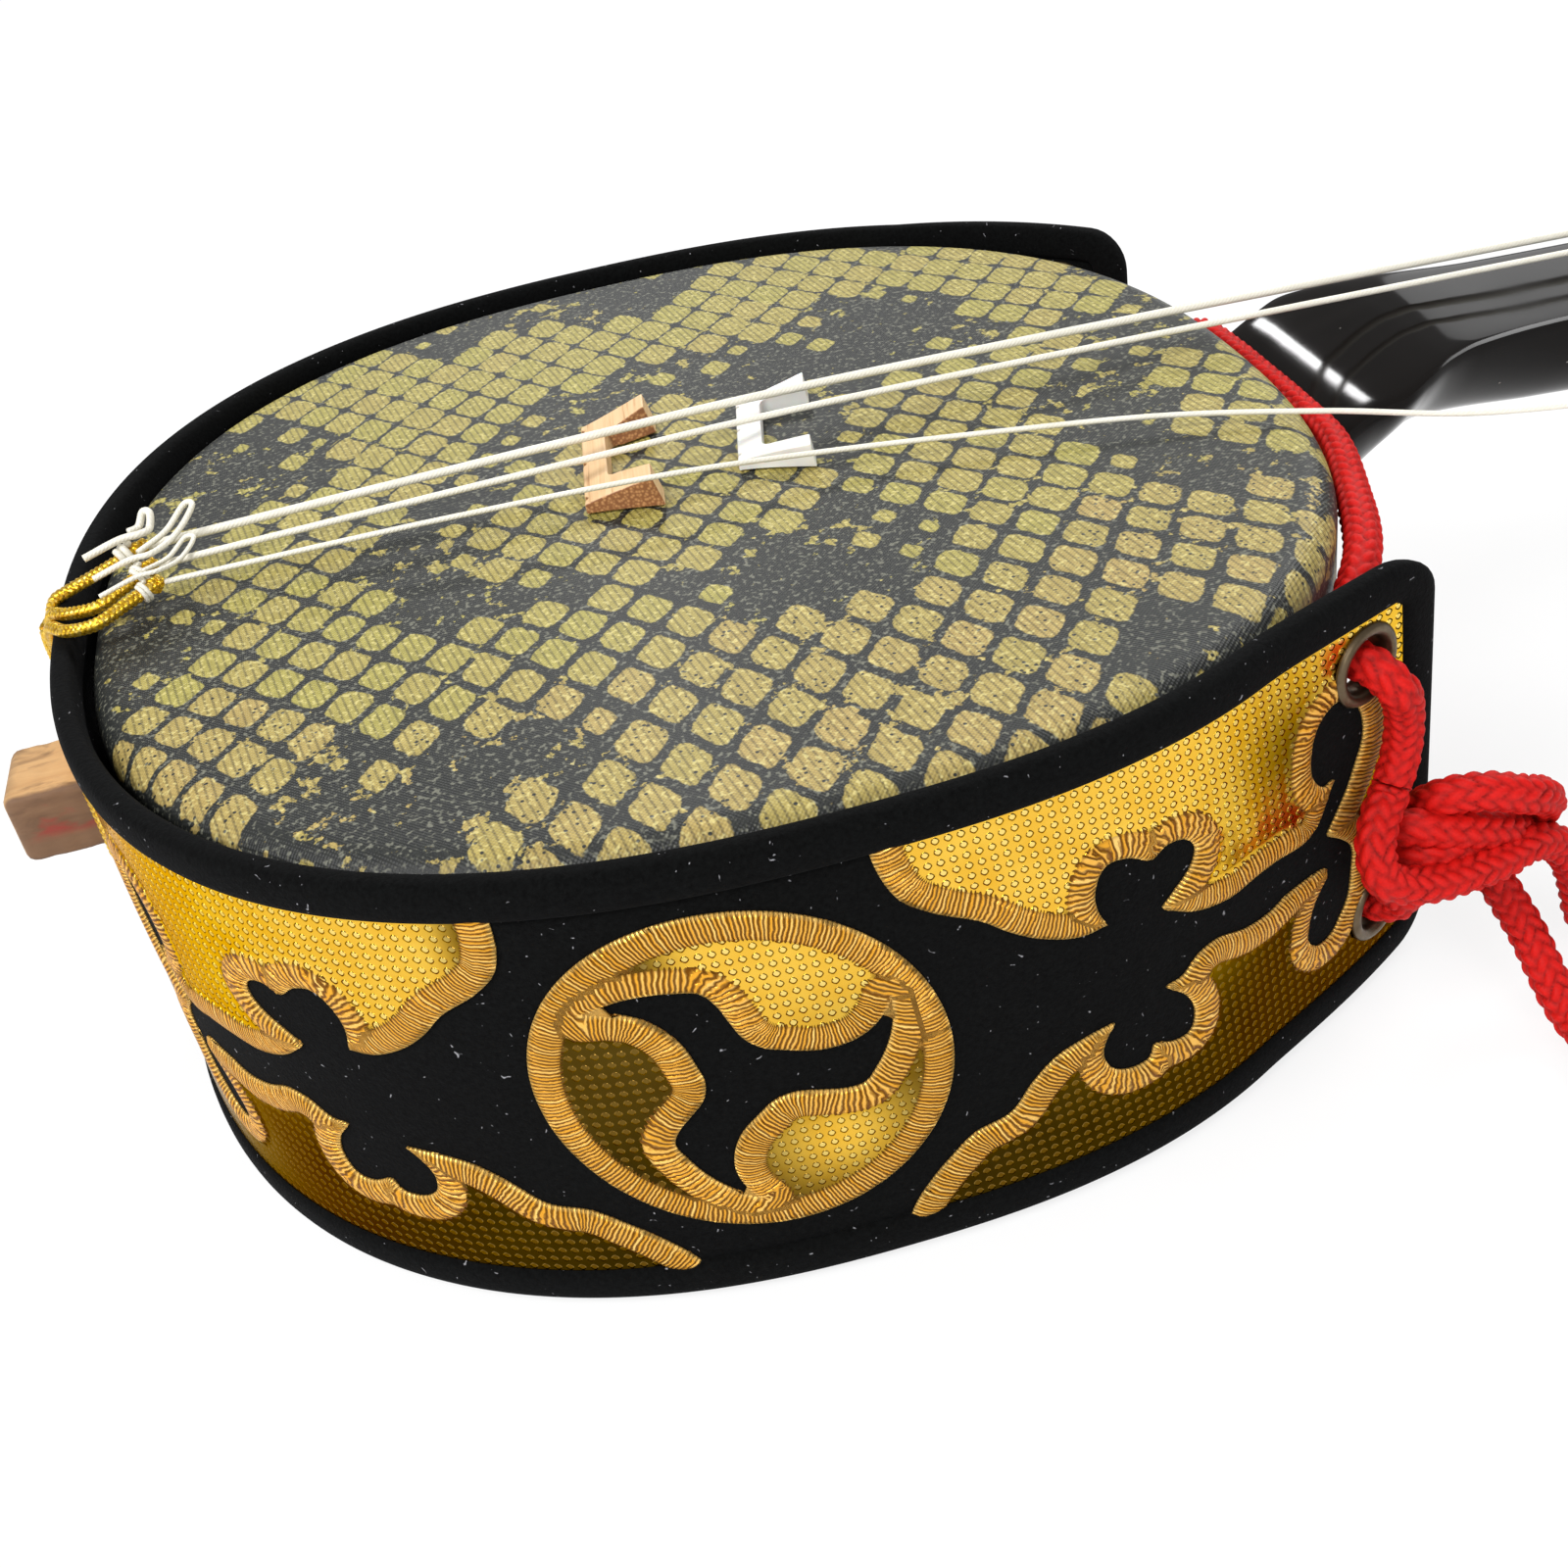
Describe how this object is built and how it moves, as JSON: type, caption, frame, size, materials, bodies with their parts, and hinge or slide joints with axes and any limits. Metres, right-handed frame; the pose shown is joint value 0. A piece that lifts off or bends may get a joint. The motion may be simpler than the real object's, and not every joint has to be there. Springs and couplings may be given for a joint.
{
  "type": "sanshin",
  "caption": "Plucked lute with a rounded square skin drum in a laced cloth wrap, a fretless lacquered neck, tuning pegs and loose bridges under the slack strings.",
  "frame": {"origin": "centre of the back skin's flat face, which the instrument lies on", "axes": "+X along the neck to the head, +Z out of the front skin, +Y to the side of the thickest string"},
  "size_m": [0.7788, 0.2092, 0.0819],
  "materials": {
    "skin_cloth": "satin, printed snake pattern under a clear coat",
    "frame_wood": "bare",
    "wedge_wood": "bare",
    "black_lacquer": "gloss lacquer, bare at the tail stub",
    "nut_bone": "polished bone",
    "black_velvet": "matt pile",
    "eyelet_brass": "antique, dull",
    "gold_cloth": "metallic thread and foil",
    "bamboo": "satin",
    "white_plastic": "gloss",
    "gold_braid": "metallic braid",
    "string_fibre": "satin, twisted",
    "red_cord": "braided",
    "cord_tip": "satin"
  },
  "bodies": {
    "instrument": {"front_skin": "skin_cloth", "back_skin": "skin_cloth", "frame_head": "frame_wood", "frame_far": "frame_wood", "frame_tail": "frame_wood", "frame_near": "frame_wood", "core_wedge": "wedge_wood", "neck": "black_lacquer", "nut": "nut_bone", "wrap_band": "black_velvet", "eyelet_near_bottom": "eyelet_brass", "eyelet_near_top": "eyelet_brass", "eyelet_far_bottom": "eyelet_brass", "eyelet_far_top": "eyelet_brass", "wrap_piping": "black_velvet", "crest_near": "gold_cloth", "crest_far": "gold_cloth", "tail_cord": "gold_braid", "string_bow_1": "string_fibre", "string_bow_2": "string_fibre", "string_bow_3": "string_fibre", "winding_1": "string_fibre", "winding_2": "string_fibre", "winding_3": "string_fibre", "string_1": "string_fibre", "string_2": "string_fibre", "string_3": "string_fibre", "lacing_cord": "red_cord", "lace_knot": "red_cord", "bow_loop": "red_cord", "cord_end_upper": "red_cord", "cord_end_lower": "red_cord", "aglet_upper": "cord_tip", "aglet_lower": "cord_tip"},
    "peg_1": {"peg_1": "black_lacquer"},
    "peg_2": {"peg_2": "black_lacquer"},
    "peg_3": {"peg_3": "black_lacquer"},
    "bamboo_bridge": {"bamboo_bridge": "bamboo"},
    "white_bridge": {"white_bridge": "white_plastic"}
  },
  "joints": [
    {"name": "peg_1_turn", "type": "hinge", "parent": "instrument", "child": "peg_1", "pos_m": [0.5653, 0, 0.03988], "axis": [0, 1, 0], "continuous": true},
    {"name": "peg_2_turn", "type": "hinge", "parent": "instrument", "child": "peg_2", "pos_m": [0.5893, 0, 0.03897], "axis": [0, 1, 0], "continuous": true},
    {"name": "peg_3_turn", "type": "hinge", "parent": "instrument", "child": "peg_3", "pos_m": [0.6133, 0, 0.03806], "axis": [0, 1, 0], "continuous": true},
    {"name": "bamboo_bridge_slide", "type": "slide", "parent": "instrument", "child": "bamboo_bridge", "axis": [1, 0, 0], "range_m": [-0.025, 0.003]},
    {"name": "white_bridge_slide", "type": "slide", "parent": "instrument", "child": "white_bridge", "axis": [1, 0, 0], "range_m": [-0.004, 0.01]}
  ]
}
